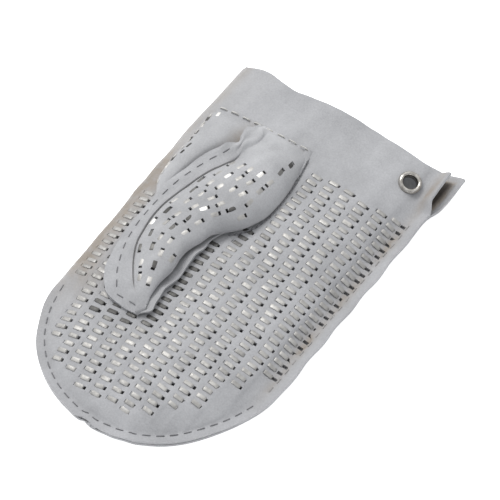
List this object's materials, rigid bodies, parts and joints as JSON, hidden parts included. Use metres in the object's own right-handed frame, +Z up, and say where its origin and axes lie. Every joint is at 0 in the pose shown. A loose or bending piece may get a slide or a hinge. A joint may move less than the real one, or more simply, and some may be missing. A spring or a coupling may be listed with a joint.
{
  "type": "steel-stapled leather butcher's mitten",
  "caption": "Protective leather mitten for butchers, its palm and thumb armoured with rows of flat steel staples, sewn edges and a hanging eyelet in the cuff.",
  "frame": {"origin": "centre of the bounding box in plan, on the surface that the back of the mitten lies on", "axes": "+Z up out of the palm, +Y from the fingertips towards the cuff (the longest extent), thumb on the -X side"},
  "size_m": [0.162, 0.286, 0.0417],
  "materials": {
    "split_leather": "matt split leather, light bluish grey",
    "staple_steel": "bright flat wire",
    "eyelet_nickel": "nickel-plated, worn bright",
    "seam_thread": "twisted grey thread"
  },
  "bodies": {
    "hand": {"back_leather": "split_leather", "palm_leather": "split_leather", "palm_staples_01": "staple_steel", "palm_staples_02": "staple_steel", "palm_staples_03": "staple_steel", "palm_staples_04": "staple_steel", "palm_staples_05": "staple_steel", "palm_staples_06": "staple_steel", "palm_staples_07": "staple_steel", "palm_staples_08": "staple_steel", "palm_staples_09": "staple_steel", "palm_staples_10": "staple_steel", "palm_staples_11": "staple_steel", "palm_staples_12": "staple_steel", "palm_staples_13": "staple_steel", "side_seam_thread": "seam_thread", "thumb_base_leather": "split_leather", "thumb_base_staples_1": "staple_steel", "thumb_base_staples_2": "staple_steel", "thumb_base_staples_3": "staple_steel", "thumb_patch_thread": "seam_thread", "thumb_side_patch": "split_leather"},
    "fingers": {"finger_back_leather": "split_leather", "finger_palm_leather": "split_leather", "finger_staples_02": "staple_steel", "finger_staples_03": "staple_steel", "finger_staples_04": "staple_steel", "finger_staples_05": "staple_steel", "finger_staples_06": "staple_steel", "finger_staples_07": "staple_steel", "finger_staples_08": "staple_steel", "finger_staples_09": "staple_steel", "finger_staples_10": "staple_steel", "finger_staples_11": "staple_steel", "fingertip_thread": "seam_thread"},
    "thumb": {"thumb_back_leather": "split_leather", "thumb_front_leather": "split_leather", "thumb_seam_thread": "seam_thread", "thumb_staples_1": "staple_steel", "thumb_staples_2": "staple_steel", "thumb_staples_3": "staple_steel", "thumb_staples_4": "staple_steel", "thumb_staples_5": "staple_steel"},
    "cuff_corner": {"cuff_corner_leather": "split_leather", "eyelet": "eyelet_nickel", "eyelet_washer": "eyelet_nickel"}
  },
  "joints": [
    {"name": "thumb_lift", "type": "hinge", "parent": "hand", "child": "thumb", "pos_m": [-0.02, 0.05, 0.0402], "axis": [-1, 0, 0], "range_deg": [0, 60]},
    {"name": "finger_curl", "type": "hinge", "parent": "hand", "child": "fingers", "pos_m": [0, -0.074, 0.0203], "axis": [-1, 0, 0], "range_deg": [0, 60]},
    {"name": "cuff_corner_lift", "type": "hinge", "parent": "hand", "child": "cuff_corner", "pos_m": [0.018, 0.11842, 0.0152], "axis": [0.9713, -0.2377, 0], "range_deg": [0, 40]}
  ]
}
